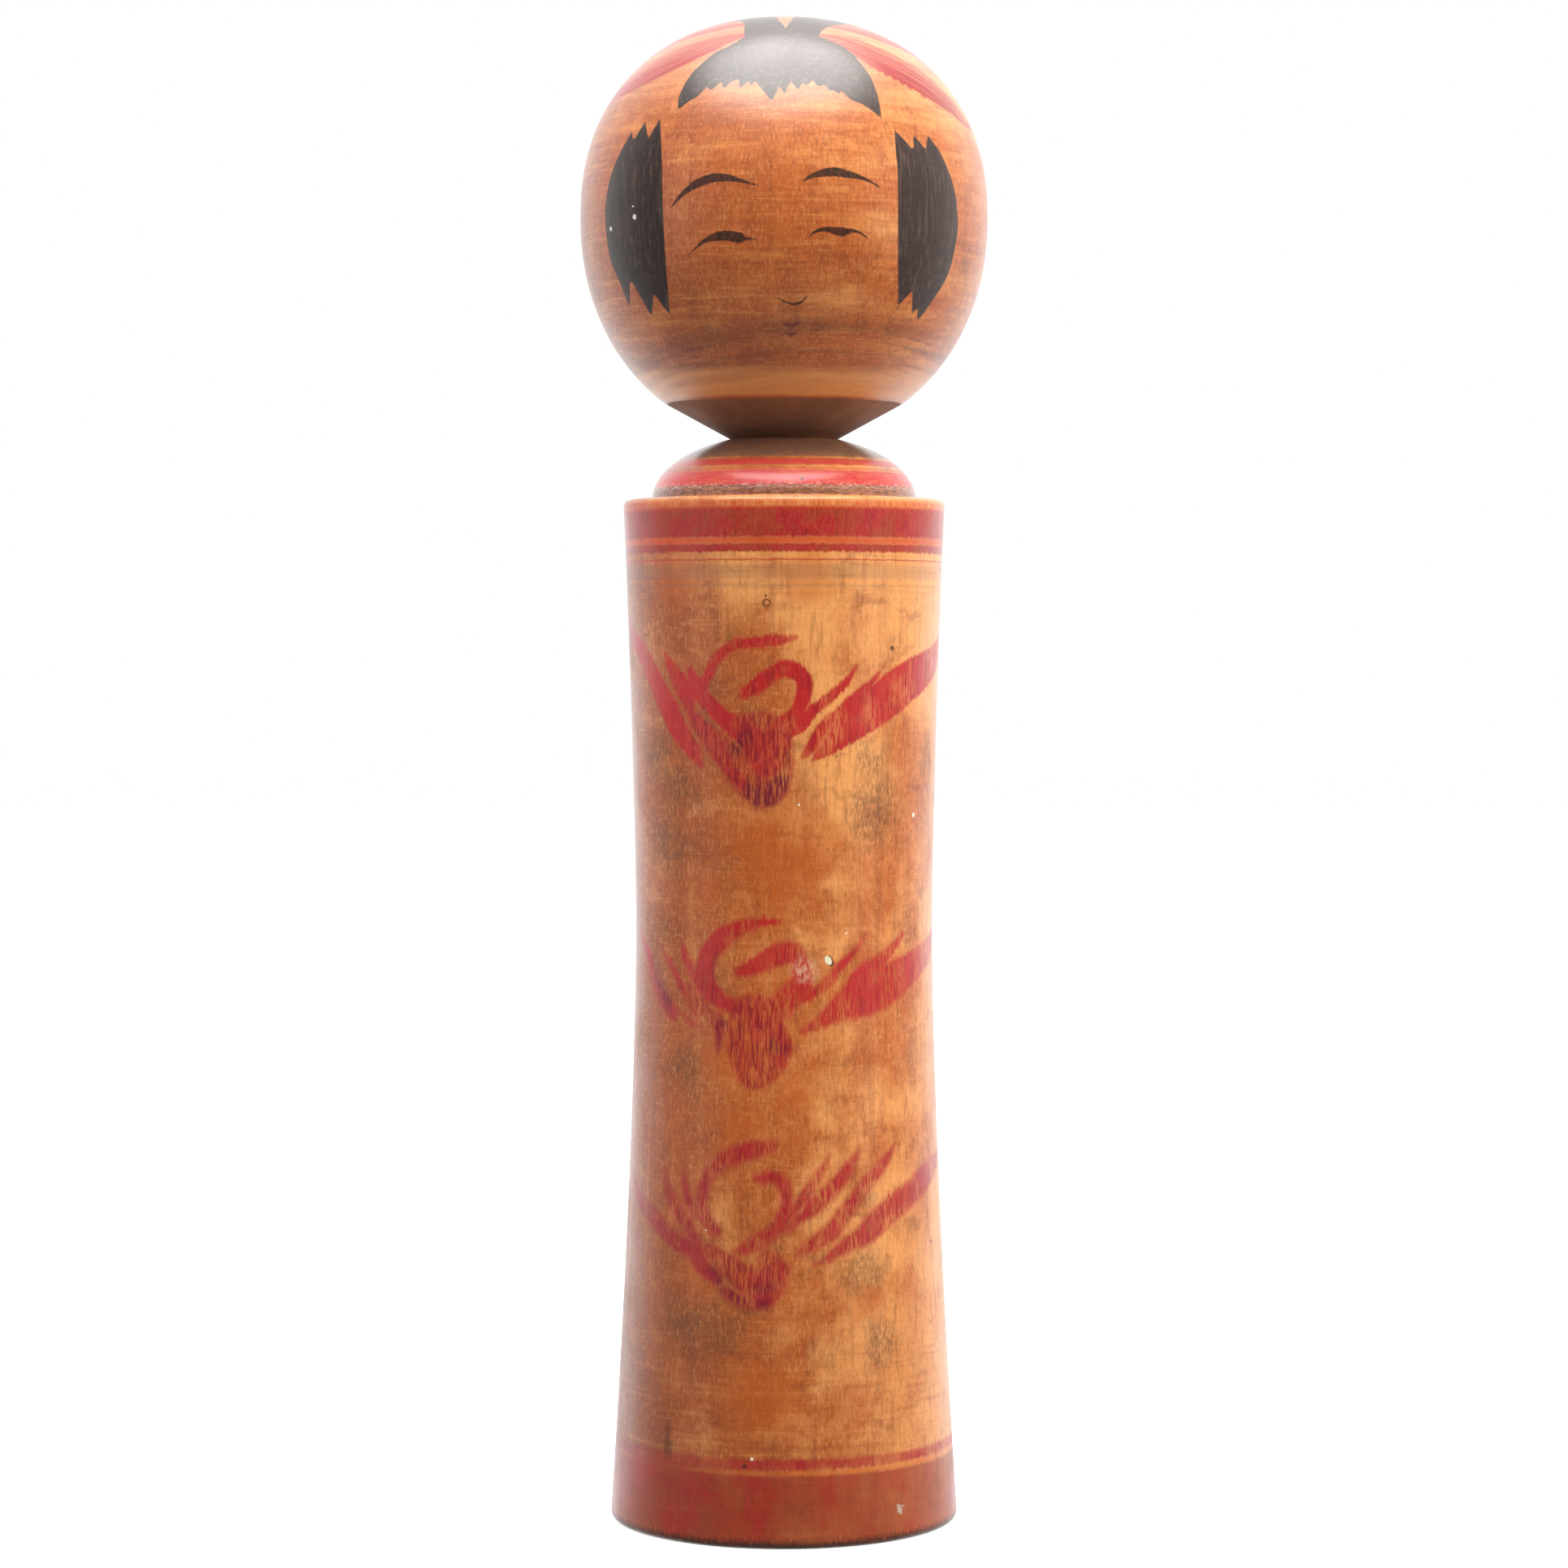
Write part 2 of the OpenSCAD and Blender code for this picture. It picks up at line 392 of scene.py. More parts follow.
third_flower = [
    [(-1.5, 78.8, 1), (-3.5, 78.2, 2.8), (-7, 77.5, 3.6), (-11, 76, 3.6), (-13.5, 74.5, 3.2),
     (-15.5, 72, 2.4), (-16.5, 69, 2.4), (-17, 66, 2.8), (-15.5, 63.5, 3.2), (-13.5, 61.5, 2.6)],
    [(-5.5, 72, 1.4), (-2, 72.5, 2.7), (0, 71, 2.7), (0.5, 68, 2.2), (0, 65, 2.7), (-2, 62, 2.9),
     (-5.5, 59.5, 3.4), (-9, 57.5, 1.4)],
    [(9, 76.5, 0.5), (6, 71.5, 1.9), (3.5, 68, 2.3), (1, 64.5, 0.9)],
    [(15.3, 77.5, 0.5), (13, 73.8, 2.5), (10, 70.5, 3.3), (6, 67, 3.5), (4, 65, 2.4), (1, 62.5, 0.8)],
    [(24.2, 78, 0.5), (21, 74.3, 2.6), (17, 70.8, 3.1), (14, 67.5, 3.1), (11.5, 64.5, 3.5),
     (9, 61.5, 3.5), (5, 59, 2.7), (2, 57, 0.6)],
    [(47.5, 74.5, 1.9), (36, 71, 5), (28, 67.5, 5.2), (21.5, 64.5, 5.5), (16.5, 61, 4.6),
     (12.5, 59, 3.2), (8.5, 56.5, 1.4), (5.5, 55, 0.2)],
    [(-26.5, 73, 0.5), (-25, 68, 2.7), (-22, 64.5, 3.2), (-19, 61, 2.8), (-16.5, 57, 1.8)],
    [(-21.5, 73, 0.5), (-20, 67.5, 2.1), (-17.5, 64.5, 2.6)],
    [(-40, 70, 1.8), (-35.5, 66, 3), (-29, 62.5, 3.8), (-24, 59.5, 3.7), (-19, 57.5, 3.4),
     (-16, 54.5, 3.2), (-13, 52, 2.2)],
    [(-11.5, 50, 1.9), (-8, 48.5, 2.5), (-4, 48.5, 3.2), (-1.5, 51.5, 3.6), (-0.5, 54.5, 3.2)],
    [(-7.5, 51.5, 2.8), (-4, 52.5, 3.6)],
]
# A run of dye below the foot's bare line.
run_of_dye = [[(-28, 13.6, 0.6), (-23, 11.4, 1.2), (-18.5, 10.2, 1.4), (-12.5, 10.6, 0.8)]]
# Where the strokes run together into a stem the dye is thin and mottled.
stems = [
    [(-21, 165, 2.5), (-17, 160, 4.5), (-12, 155.5, 6), (-8, 150.5, 6.5), (-5.5, 147.5, 5)],
    [(-8, 161, 5), (-3.5, 158.5, 9.5), (-3.2, 153, 10.5), (-3, 149, 8), (-4.5, 146.5, 4.5)],
    [(-21, 109.5, 2), (-16.5, 104.5, 3), (-12.5, 101.5, 3.5)],
    [(-6, 103, 11), (-5.5, 98.5, 13), (-5.5, 95, 10.5), (-6, 92.5, 6.5)],
    [(-15, 58, 3), (-10, 54.5, 5), (-5.5, 52, 6.5), (-2.5, 56, 5)],
]
# Where each stroke's colour pooled and dried nearly purple.
pools = [
    [(-7, 148, 2.8), (-3.5, 147, 4.2), (-0.5, 149.5, 2.8)], [(-5.5, 145.5, 2.2), (-3, 145.5, 1)],
    [(-10, 156, 1.9), (-7.5, 158.5, 2.2)], [(-13.5, 103, 1.4), (-13.5, 98, 1.2)],
    [(-1.5, 98.5, 2.2), (0.5, 97.5, 1.4)], [(-13.5, 54, 1.4), (-11.8, 51.5, 2.6), (-10.5, 49.5, 2.4)],
    [(-10.5, 48.6, 2.2), (-7.5, 47.4, 2.4), (-3.5, 47.2, 2.2)], [(-4.5, 50.5, 1.2), (-2, 51.5, 1.4)],
    [(-31, 112, 2), (-27, 106, 2)],
]
brush_step = 0.25
painted_radius = 31.0

trunk = points_of(body.data)
front_turn = np.arctan2(trunk[:, 0], -trunk[:, 1])
round_trunk = np.column_stack([front_turn * painted_radius, trunk[:, 2]])
flowers = first_flower + second_flower + third_flower + run_of_dye
for paint, strokes in (("flower", flowers), ("stem", stems), ("pool", pools)):
    edge_gap, across_grain = brushed(round_trunk, [smooth_run(s, brush_step) for s in strokes])
    keep_on(body.data, paint, edge_gap)
    if paint == "flower":
        keep_on(body.data, "across_grain", across_grain)
trunk_radius = np.hypot(trunk[:, 0], trunk[:, 1])
in_socket = (trunk_radius < 9.8) & (trunk[:, 2] > 185)
under_foot = (trunk_radius < 33) & (trunk[:, 2] < 1.0)
keep_on(body.data, "outside", np.where(in_socket | under_foot, 0.0, 1.0))


def colour(red, green, blue):
    """A paint colour in linear light, from the 0 to 255 numbers of a swatch."""
    swatch = np.array([red, green, blue]) / 255
    linear = np.where(swatch <= 0.04045, swatch / 12.92, ((swatch + 0.055) / 1.055) ** 2.4)
    return (*(float(v) for v in linear), 1.0)


class Flow:
    """A number, colour or direction on its way through a material. Sums on it add the nodes for them."""

    def __init__(self, tree, socket):
        self.tree = tree
        self.socket = socket

    def node(self, kind, settings, values, result=0):
        plain = {place: getattr(value, "socket", value) for place, value in values.items()}
        return Flow(self.tree, add_node(self.tree, "ShaderNode" + kind, settings, plain, result))

    def maths(self, operation, first, second=0.0):
        return self.node("Math", {"operation": operation}, {0: first, 1: second})

    def vector(self, operation, other, result=0):
        return self.node("VectorMath", {"operation": operation}, {0: self, 1: other}, result)

    def __add__(self, other):
        return self.maths("ADD", self, other)

    __radd__ = __add__

    def __sub__(self, other):
        return self.maths("SUBTRACT", self, other)

    def __rsub__(self, other):
        return self.maths("SUBTRACT", other, self)

    def __mul__(self, other):
        return self.maths("MULTIPLY", self, other)

    __rmul__ = __mul__

    def __abs__(self):
        return self.maths("ABSOLUTE", self)

    def least(self, other):
        return self.maths("MINIMUM", self, other)

    def most(self, other):
        return self.maths("MAXIMUM", self, other)

    def rise(self, low, high, start=0.0, end=1.0):
        """start below low, end above high, and smooth between."""
        ends = dict(enumerate((self, low, high, start, end)))
        return self.node("MapRange", {"interpolation_type": "SMOOTHSTEP"}, ends)

    def fall(self, low, high):
        return self.rise(low, high, 1.0, 0.0)

    def over(self, below, above):
        """Colour above laid on colour below, as strongly as this mask. Either may be a plain swatch."""
        under, upper = (colour(*tint) if isinstance(tint, tuple) else tint for tint in (below, above))
        return self.node("Mix", {"data_type": "RGBA"}, {0: self, 6: under, 7: upper}, 2)

    def scaled(self, x, y, z):
        return self.vector("MULTIPLY", (x, y, z))

    def texture(self, detail, roughness, result=0):
        settled = {"Vector": self, "Scale": 1.0, "Detail": detail, "Roughness": roughness}
        return self.node("TexNoise", {}, settled, result)

    def noise(self, x, y, z, detail=2.0, roughness=0.5, shift=0.0):
        """Noise that changes x, y and z times a millimetre along each axis."""
        return self.scaled(x, y, z).vector("ADD", (shift, shift, -shift)).texture(detail, roughness)

    def stirred(self, amount, fineness, shift=0.0):
        """The same places pushed about by up to an amount in mm, for cloudy edges."""
        moved = self.scaled(fineness, fineness, fineness).vector("ADD", (shift, shift, shift))
        push = moved.texture(3.0, 0.6, 1).vector("SUBTRACT", (0.5, 0.5, 0.5))
        return self.vector("ADD", push.scaled(amount, amount, amount))

    def gap_to(self, spot):
        return self.vector("DISTANCE", spot, 1)

    def near(self, spot, radius, soft=0.4):
        """1 within a radius of a spot, both in millimetres, and 0 away from it."""
        return self.gap_to(spot).fall(radius * (1 - soft), radius * (1 + soft))


def start_material(material):
    """A material's tree and its surface node, and the place on the piece in millimetres."""
    material.use_nodes = True
    tree = material.node_tree
    shader = tree.nodes["Principled BSDF"]
    place = tree.nodes.new("ShaderNodeTexCoord")
    at = Flow(tree, place.outputs["Object"]).scaled(1 / mm, 1 / mm, 1 / mm)
    return tree, shader, at


def stored(at, name):
    return at.node("Attribute", {"attribute_name": name}, {}, 2)


def along(at, axis):
    return at.node("SeparateXYZ", {}, {0: at}, "XYZ".index(axis))


def turned_wood(at, light, dark, streaky, seed):
    """Bare old wood between its light and its dark places, where the lighter and darker sides are painted
    light and painted shade, its height for the bump, and the noises that the paint reuses. Streaky is how
    plainly the turning shows, from 0 to 1."""
    fleck = at.noise(2.4, 2.4, 0.75, 2.0, 0.65, seed)
    fibre = at.noise(1.1, 1.1, 0.12, 3.0, 0.6, seed + 1)
    weave = at.noise(0.30, 0.30, 2.8, 3.0, 0.65, seed + 2)
    stripes = at.noise(0.05, 0.05, 0.9, 3.0, 0.6, seed + 3)
    strand = at.noise(0.28, 0.28, 0.015, 3.0, 0.6, seed + 6)
    smudge = at.stirred(6.0, 0.12, seed).noise(0.09, 0.09, 0.06, 3.0, 0.6, seed + 4)
    worn = at.stirred(6.0, 0.15, seed + 5).noise(0.09, 0.09, 0.22, 3.0, 0.6, seed + 5)
    pale = (238, 162, 94)
    warm = (190, 97, 43)
    deep = (140, 68, 36)
    vessel = at.noise(1.3, 1.3, 0.025, 2.0, 0.5, seed + 7)
    # Pale where light is high and deep where dark is high: painted light on the lit side and painted shade
    # on the shaded side, mixed with a cloudy tone.
    wood = light.over(warm, pale)
    layers = [
        (dark * 0.75, deep),
        (strand.rise(0.50, 0.72) * 0.34, deep),
        (strand.fall(0.30, 0.46) * 0.22, (232, 150, 80)),
        (fibre.rise(0.50, 0.72) * 0.38, deep),
        (vessel.rise(0.60, 0.70) * light.rise(0.2, 1.0, 0.20, 0.10), (104, 50, 28)),
        (stripes.rise(0.50, 0.68) * 0.36 * streaky, deep),
        (stripes.fall(0.32, 0.48) * 0.34 * streaky, (232, 152, 82)),
        (worn.rise(0.56, 0.72) * 0.20, (240, 168, 96)),
        (worn.fall(0.30, 0.44) * 0.42, (138, 66, 36)),
        (smudge.rise(0.56, 0.74) * fleck.rise(0.30, 0.60, 0.20, 0.5), (108, 76, 48)),
        (fleck.rise(0.50, 0.80) * light.rise(0.2, 1.0, 0.54, 0.30), (104, 50, 26)),
        (fleck.fall(0.28, 0.48) * 0.26, (246, 180, 112)),
        (weave.rise(0.52, 0.74) * light.rise(0.2, 1.0, 0.18, 0.10), (104, 54, 32)),
        (weave.fall(0.26, 0.46) * 0.24, (240, 176, 112)),
    ]
    for mask, tint in layers:
        wood = mask.over(wood, tint)
    height = fleck * 0.35 + weave * 0.35 + fibre * 0.3
    return wood, height, fleck, fibre, weave, stripes, smudge


def wax(tree, shader, wood, rough, coat, height, lift):
    """Joins colour, roughness and bump to the surface, under a worn coat of wax."""
    tree.links.new(wood.socket, shader.inputs["Base Color"])
    tree.links.new(rough.socket, shader.inputs["Roughness"])
    tree.links.new(coat.socket, shader.inputs["Coat Weight"])
    bump = wood.node("Bump", {}, {"Strength": 0.35, "Distance": lift, "Height": height})
    tree.links.new(bump.socket, shader.inputs["Normal"])
    shader.inputs["IOR"].default_value = 1.5
    shader.inputs["Specular IOR Level"].default_value = 0.35
    shader.inputs["Coat IOR"].default_value = 1.5


def on_trunk(degrees, z):
    """A place on the trunk's side: degrees round from the middle of the front, and height, in mm."""
    r = side_radius(z * mm) / mm
    turn = math.radians(degrees)
    return r * math.sin(turn), -r * math.cos(turn), z


tree, shader, at = start_material(body_paint)
x, y, z = along(at, "X"), along(at, "Y"), along(at, "Z")
outside = stored(at, "outside")
cloud = at.stirred(16.0, 0.05).noise(0.055, 0.055, 0.045, 4.0, 0.6, 3.0)
# The doll's left and front are painted lighter and its right and back painted darker: painted light and
# shade in the wood's colour, under a cloudy tone that differs at random. The trunk is also paler near its
# top.
lit_side_and_tone = x * 0.8 - y * 0.5 + (cloud - 0.5) * 40
light = (lit_side_and_tone.rise(2, 30) * 0.62 + z.rise(158, 186) * 0.45 + (cloud - 0.5) * 2.0).rise(0.05, 1.0)
dark = lit_side_and_tone.fall(-22, 12)
streaky = z.fall(24, 52) * 0.75 + z.rise(176, 190) * 0.5 + 0.12
wood, height, fleck, fibre, weave, stripes, smudge = turned_wood(at, light, dark, streaky, 3.0)
grain = at.noise(2.6, 2.6, 0.30, 2.0, 0.6, 11.0)
ragged = (grain - 0.5) * 1.3 + (fibre - 0.5) * 0.8

# The trunk is darker towards the foot, and more so on its side that is painted in shade.
wood = (z.fall(0, 110) * lit_side_and_tone.rise(-22, 30, 0.50, 0.14)).over(wood, (112, 54, 32))

# Handling has left grey-brown thumb marks and orange rubbed places down the trunk.
cloudy = at.stirred(11.0, 0.16, 7.0)
thumb_marks = [(34, 154.5, 2.5), (37, 144, 6), (-43, 147, 4), (-55, 155, 4), (-49, 137, 4.5),
               (37, 38.5, 4), (-40, 43, 4.5), (-38, 94, 4), (-43, 19, 1.8), (30, 68, 2)]
for degrees, height_up, size in thumb_marks:
    thumb = cloudy.near(on_trunk(degrees, height_up), size, 0.8) * fleck.rise(0.36, 0.62, 0.12, 0.58)
    wood = thumb.over(wood, (88, 70, 50))
rubbed_places = [(-1, 136, 9), (-20, 96, 6), (8, 190, 5), (-42, 190, 6), (-8, 30, 7), (4, 89, 3.5),
                 (-16, 82, 4.5), (-33, 53, 4), (30, 47, 3), (-25, 128, 4)]
for degrees, height_up, size in rubbed_places:
    rubbed = cloudy.near(on_trunk(degrees, height_up), size, 0.6) * 0.42
    wood = rubbed.over(wood, (188, 86, 24))

# The dye: crimson where it lies thick, browner where it has worn into the grain, and duller low down
# and on the doll's right.
dye = (fibre.rise(0.46, 0.70) * 0.55).over((184, 28, 36), (108, 16, 26))
dye = (fleck.fall(0.30, 0.48) * 0.40).over(dye, (216, 64, 52))
dye = (x.fall(-24, -6) * z.fall(80, 150) * 0.40).over(dye, (120, 32, 48))
low_dye = (fleck.rise(0.42, 0.62) * 0.6).over((160, 22, 50), (104, 18, 34))
dye = (z.fall(50, 135) * 0.50).over(dye, low_dye)

# The flowers, ragged where a stroke's edge crosses the grain, dry in places, and fainter and softer
# edged down the trunk.
stem = (stored(at, "stem") + ragged * 1.3).fall(-0.7, 0.5) * outside
fading = z.rise(50, 150, 0.92, 0.97) - stem * 0.22
dash = grain.rise(0.40, 0.60) * 0.65 + fibre.rise(0.40, 0.62) * 0.35
thin_dye = (grain.rise(0.44, 0.60) * 0.75).over((186, 42, 40), (112, 20, 36))
frayed = ragged * (stored(at, "across_grain") + 0.45) * z.rise(95, 150, 1.45, 1.0)
edge = stored(at, "flower") - 0.12 + frayed
dry = at.noise(0.17, 0.17, 0.10, 3.0, 0.55, 15.0).rise(0.38, 0.64) * z.rise(60, 150, 0.50, 0.40)
worn_off = z.fall(90, 150) * fleck.rise(0.48, 0.66, 0.05, 0.40)
cover = (fading - dash.fall(0.25, 0.80) * (dry + worn_off)).most(0.12)
worn_edge = z.fall(90, 145)
petal = edge.fall(-0.45 - worn_edge * 0.35, 0.30 + worn_edge * 0.45) * cover * outside
wood = petal.over(wood, dye)
wood = (stem * dash.rise(0.10, 0.80, 0.25, 0.85)).over(wood, thin_dye)
pooled = (stored(at, "pool") + ragged * 2.6).fall(-0.6, 1.6) * dash.rise(0.05, 0.70, 0.15, 0.9) * fading
wood = (pooled * petal.most(stem).most(0.5) * outside).over(wood, (88, 14, 44))

# The lathe bands: lowest and highest place in mm, strength, softness of the edges, and which dye.
patchy = at.stirred(5.0, 0.2, 12.0).noise(0.14, 0.14, 0.16, 3.0, 0.6, 12.0)
thinned = patchy.rise(0.40, 0.60) * grain.rise(0.30, 0.62, 0.15, 0.75)
band_red = thinned.over((176, 26, 38), (150, 62, 30))
thick = fibre.rise(0.46, 0.70) * 0.30 + patchy.fall(0.30, 0.48) * 0.35 + x.fall(-32, -8) * 0.22
band_red = thick.over(band_red, (116, 20, 28))
faded_red = (smudge.rise(0.36, 0.62) * 0.75).over((162, 36, 34), (142, 56, 34))
faded_red = (grain.rise(0.44, 0.64) * 0.40).over(faded_red, (104, 40, 28))
grey_brown = (fleck.rise(0.36, 0.62) * 0.5).over((96, 72, 64), (156, 124, 108))
rusty = (200, 60, 26)
rosy = (fleck.rise(0.36, 0.60) * 0.30).over((212, 46, 60), (170, 34, 44))
grime = at.noise(0.7, 0.7, 3.0, 3.0, 0.65, 18.0).rise(0.44, 0.62) * 0.75
grimy = grime.over((78, 48, 50), (158, 118, 110))
touched = at.near(on_trunk(2, 16.6), 9.0, 0.5).most(at.near(on_trunk(62, 17.2), 16.0, 0.4))
bands = [
    (14.3, 15.7, x.fall(-24, 6) * 0.6, 0.3, faded_red),
    (-1.0, 14.4, smudge.rise(0.30, 0.66, 0.90, 0.72), 0.5, faded_red),
    (15.5, 17.5, touched.rise(0, 1, 0.70, 0.97) * patchy.rise(0.35, 0.60, 1.0, 0.6), 0.5, dye),
    (187.9, 188.5, 0.22, 0.3, grey_brown),
    (189.6, 192.4, 0.26, 0.5, grey_brown),
    (193.15, 193.45, 0.75, 0.15, dye),
    (196.4, 197.7, 0.80, 0.4, rusty),
    (194.8, 196.4, 0.95, 0.25, band_red),
    (197.7, 203.6, 0.97, 0.35, band_red),
    (203.2, 205.1, grain.rise(0.40, 0.60, 0.30, 0.75), 0.5, rusty),
    (206.2, 208.4, 0.88, 0.2, grimy),
    (208.2, 211.1, 0.96, 0.2, rosy),
    (211.3, 211.6, 0.7, 0.1, rosy),
    (212.2, 213.5, 0.9, 0.15, rosy),
    # The grey-brown band over the dome's top, under the head, is partly paint and partly painted shade.
    (214.0, 219.0, 0.86, 0.2, grey_brown),
]
on_dome = z.rise(205.6, 206.2)
fringed = z.fall(100, 110).most(z.rise(193.8, 194.8)) * 0.55 + 0.20
shaky = (at.noise(0.5, 0.5, 0.5, 3.0, 0.6, 17.0) - 0.5) * 0.5
level = z + (ragged * on_dome.rise(0, 1, 1.0, 0.16) * fringed + shaky)
rubbed_off = on_dome * weave.rise(0.40, 0.62, 0.0, -0.22) + fleck.rise(0.46, 0.66, 1.0, 0.88)
for low, high, strength, soft, tint in bands:
    band = level.rise(low - soft, low + soft) * level.fall(high - soft, high + soft)
    wood = (band * rubbed_off * strength * outside).over(wood, tint)
crumbs = at.noise(1.1, 1.1, 4.0, 2.0, 0.6, 19.0)
granules = z.rise(207.0, 208.0) * z.fall(208.2, 209.2) * crumbs.rise(0.50, 0.60)
wood = (granules * 0.55 * outside).over(wood, (226, 178, 168))
bare_line = z.rise(14.2, 14.7) * z.fall(15.0, 15.6) * patchy.rise(0.35, 0.60, 0.85, 0.25)
wood = (bare_line * x.rise(-20, 4, 0.2, 1.0)).over(wood, (206, 104, 44))

# The foot's edge is dark from handling and damp, and its underside is bare end grain.
foot_grime = (z + ragged * 1.6).fall(0.6, 2.6) * 0.88
wood = foot_grime.over(wood, (58, 40, 30))
foot_scuffs = (z + ragged).fall(2.0, 4.0) * fleck.rise(0.56, 0.66) * 0.35
wood = foot_scuffs.over(wood, (206, 112, 50))
under = outside.fall(0.2, 0.8)
wood = (under * 0.7).over(wood, (164, 112, 70))

# Small accidents: a fleck of cream paint, a rubbed patch in a petal, dust, pin knots and dents.
rub = at.stirred(4.0, 0.5, 9.0).near(on_trunk(8, 113), 2.4, 0.6) * fleck.rise(0.40, 0.60, 0.05, 0.6)
wood = rub.over(wood, (234, 186, 150))
cream_spot = on_trunk(16.8, 114.7)
tilted = at.node("VectorRotate", {"rotation_type": "AXIS_ANGLE"},
                 {"Vector": at, "Center": cream_spot, "Axis": (0.29, -0.96, 0), "Angle": -0.5})
squeezed = tilted.stirred(0.5, 1.2).vector("SUBTRACT", cream_spot).scaled(1.6, 1.6, 1.0)
wood = squeezed.near((0.35, 0, -0.25), 1.15, 0.12).over(wood, (88, 60, 40))
cream = squeezed.near((0, 0, 0), 1.0, 0.12)
wood = cream.over(wood, (236, 226, 190))
dust = [(58, 142.8, 0.45), (5.5, 145.3, 0.22), (-28.9, 61.6, 0.15), (-10.6, 17.6, 0.3), (24, 120, 0.2)]
for degrees, height_up, size in dust:
    wood = at.near(on_trunk(degrees, height_up), size, 0.4).over(wood, (240, 232, 214))
scuff = at.stirred(3.0, 0.9, 5.0).near(on_trunk(40.8, 6.3), 0.8, 0.5) * fleck.rise(0.34, 0.50, 0.2, 0.9)
wood = scuff.over(wood, (196, 176, 160))
dome_pit = (3.6, -25.6, 209.3)
pits = [(on_trunk(67, 57.3), 0.4), (on_trunk(43, 176), 0.5), (on_trunk(-6.5, 186.2), 0.25), (dome_pit, 0.4),
        (on_trunk(-13.2, 16.1), 0.4)]
for spot, size in pits:
    wood = (at.stirred(0.5, 1.5).near(spot, size, 0.4) * 0.85).over(wood, (66, 34, 26))
stain_x, stain_y, stain_z = on_trunk(-42.7, 19.6)
tall = 0.3
streak = at.stirred(1.2, 0.4).scaled(1.0, 1.0, tall).near((stain_x, stain_y, stain_z * tall), 0.9, 0.9)
wood = (streak * 0.6).over(wood, (76, 40, 26))
knot = at.stirred(0.3, 1.5).gap_to(on_trunk(-6.2, 184.8))
wood = (abs(knot - 0.7).fall(0.08, 0.3) * 0.75).over(wood, (104, 54, 30))

rough = smudge.rise(0.35, 0.70, 0.42, 0.56) + foot_grime * 0.2 + under * 0.2 - on_dome * 0.08
coat = smudge.rise(0.35, 0.70, 0.95, 0.70).most(on_dome) * outside
dents = cream * 1.5 + height
wax(tree, shader, wood, rough, coat, dents, 0.12 * mm)
shader.inputs["Coat Roughness"].default_value = 0.26

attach(body, "body")
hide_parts("body")

# ---- Head: ball with a coned chin and a tenon ------------------------------------------------------
# One block of the same wood, turned with its tenon, which swells below the neck so that it stays in
# the body's undercut once it has been pressed home. Hair, brows, eyes and nose are brushed in ink, the
# ribbons over the crown in red.

head_low, head_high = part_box("head")
crown_height = head_high[2]
head_radius = 41.15 * mm
head_middle = 262.7 * mm
crease_height = neck_height + 7.3 * mm
lower_reach = 44.8 * mm
lower_fullness = 2.1
upper_reach = crown_height - head_middle
upper_fullness = 2.23
shank_radius = 8.5 * mm
bulb_radius = 9.1 * mm
tenon_foot = head_low[2]
swell_height = neck_height - 11.5 * mm


def ball_point(turn, reach, fullness, side):
    """A point of the ball's outline: turn is 0 where it is widest and a quarter turn on the axis."""
    r = head_radius * max(math.cos(turn), 0.0) ** (2 / fullness)
    return r, head_middle + side * reach * math.sin(turn) ** (2 / fullness)


def even_rows(points, step):
    """The same outline with its points a step apart."""
    line = np.array(points)
    lengths = np.concatenate([[0], np.cumsum(np.hypot(*np.diff(line, axis=0).T))])
    wanted = np.linspace(0, lengths[-1], int(lengths[-1] / step) + 1)
    return list(zip(np.interp(wanted, lengths, line[:, 0]), np.interp(wanted, lengths, line[:, 1])))


def head_outline():
    """The head's outline from the tenon's foot, out at the neck and round the ball to the crown."""
    row_step = 0.445 * mm
    rows = [(0, tenon_foot), (3 * mm, tenon_foot), (6.2 * mm, tenon_foot), (6.6 * mm, tenon_foot + 0.3 * mm)]
    rows += [(8.2 * mm, tenon_foot + 3 * mm), (bulb_radius, tenon_foot + 5 * mm)]
    rows += [(bulb_radius, swell_height - 3 * mm), (shank_radius, swell_height)]
    rows += [(shank_radius, z) for z in np.linspace(swell_height, neck_height, 5)[1:]]
    cone_foot = neck_height + 0.1 * mm
    rows += [(10.0 * mm, neck_height), (land_radius - 0.15 * mm, neck_height), (land_radius, cone_foot)]
    crease_turn = math.asin(((head_middle - crease_height) / lower_reach) ** (lower_fullness / 2))
    crease = ball_point(crease_turn, lower_reach, lower_fullness, -1)
    cone = [(land_radius + (crease[0] - land_radius) * t, cone_foot + (crease[1] - cone_foot) * t)
            for t in np.linspace(0, 0.985, 34)]
    lower_turns = np.linspace(crease_turn * 0.995, 0, 400)
    lower = [ball_point(t, lower_reach, lower_fullness, -1) for t in lower_turns]
    upper = [ball_point(t, upper_reach, upper_fullness, 1) for t in np.linspace(0, math.pi / 2, 600)]
    rows += cone[1:] + even_rows(lower + upper[1:], row_step)
    rows[-1] = (0, crown_height)
    return rows


head_paint = bpy.data.materials.new("head wood")
head = turn_on_lathe("head_turned", head_outline(), columns=320, crowding=0.5, finish=head_paint)


def ball_radius(z):
    """The ball's radius at heights in mm."""
    up = np.asarray(z, float) - head_middle / mm
    reach = np.where(up > 0, upper_reach, lower_reach) / mm
    fullness = np.where(up > 0, upper_fullness, lower_fullness)
    level = np.clip(np.abs(up) / reach, 0, 1)
    return head_radius / mm * (1 - level**fullness) ** (1 / fullness)


def from_front(drawn):
    """Lays a drawing of x, height and any width on the front of the ball."""
    x, z = drawn[:, 0], drawn[:, 1]
    y = -np.sqrt(np.maximum(ball_radius(z) ** 2 - x**2, 0))
    return np.column_stack([x, y, z, drawn[:, 2:]])


